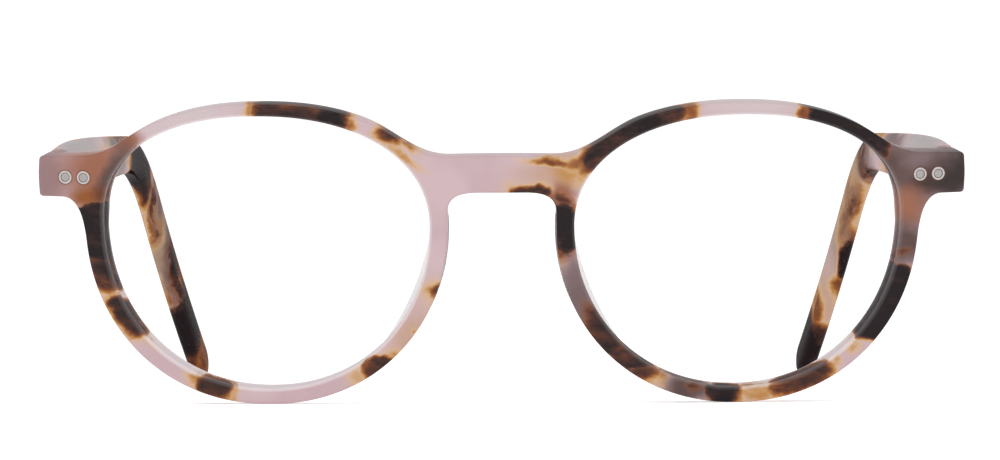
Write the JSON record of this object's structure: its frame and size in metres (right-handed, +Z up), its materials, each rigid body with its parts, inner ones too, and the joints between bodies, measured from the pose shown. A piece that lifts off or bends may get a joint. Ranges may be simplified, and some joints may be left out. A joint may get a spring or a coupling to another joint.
{
  "type": "eyeglasses",
  "caption": "Round-oval panto eyeglasses: acetate front with straight bridge, clear lenses, glued nose pads, riveted barrel hinges and temples that fold inward.",
  "frame": {"origin": "middle of the bounding box at the level of the table that the open glasses stand on, on their rims and temple tips", "axes": "+Z up, the lenses face -Y, the temples run back along +Y and the wearer's left is +X"},
  "size_m": [0.1368, 0.1462, 0.0446],
  "materials": {
    "tortoise_acetate": "polished acetate, rose, honey and dark brown tortoiseshell",
    "clear_acetate": "polished clear acetate with a faint blush",
    "clear_lens": "clear demo lens",
    "rivet_metal": "satin nickel silver",
    "hinge_metal": "satin nickel silver",
    "screw_steel": "stainless steel",
    "core_wire": "bright drawn wire"
  },
  "bodies": {
    "front_frame": {"front": "tortoise_acetate", "left_lens": "clear_lens", "left_nose_pad": "clear_acetate", "left_front_rivet_inner": "rivet_metal", "left_front_rivet_outer": "rivet_metal", "left_front_hinge_leaf": "hinge_metal", "left_hinge_screw": "screw_steel", "right_lens": "clear_lens", "right_nose_pad": "clear_acetate", "right_front_rivet_inner": "rivet_metal", "right_front_rivet_outer": "rivet_metal", "right_front_hinge_leaf": "hinge_metal", "right_hinge_screw": "screw_steel"},
    "left_temple_arm": {"left_temple": "tortoise_acetate", "left_temple_core": "core_wire", "left_temple_hinge_leaf": "hinge_metal", "left_temple_rivet_front": "rivet_metal", "left_temple_rivet_rear": "rivet_metal"},
    "right_temple_arm": {"right_temple": "tortoise_acetate", "right_temple_core": "core_wire", "right_temple_hinge_leaf": "hinge_metal", "right_temple_rivet_front": "rivet_metal", "right_temple_rivet_rear": "rivet_metal"}
  },
  "joints": [
    {"name": "left_temple_fold", "type": "hinge", "parent": "front_frame", "child": "left_temple_arm", "pos_m": [0.06166, -0.05891, 0.0344], "axis": [0, -0.0306, 0.9995], "range_deg": [0, 86]},
    {"name": "right_temple_fold", "type": "hinge", "parent": "front_frame", "child": "right_temple_arm", "pos_m": [-0.06166, -0.05891, 0.0344], "axis": [0, 0.0306, -0.9995], "range_deg": [0, 78]}
  ]
}
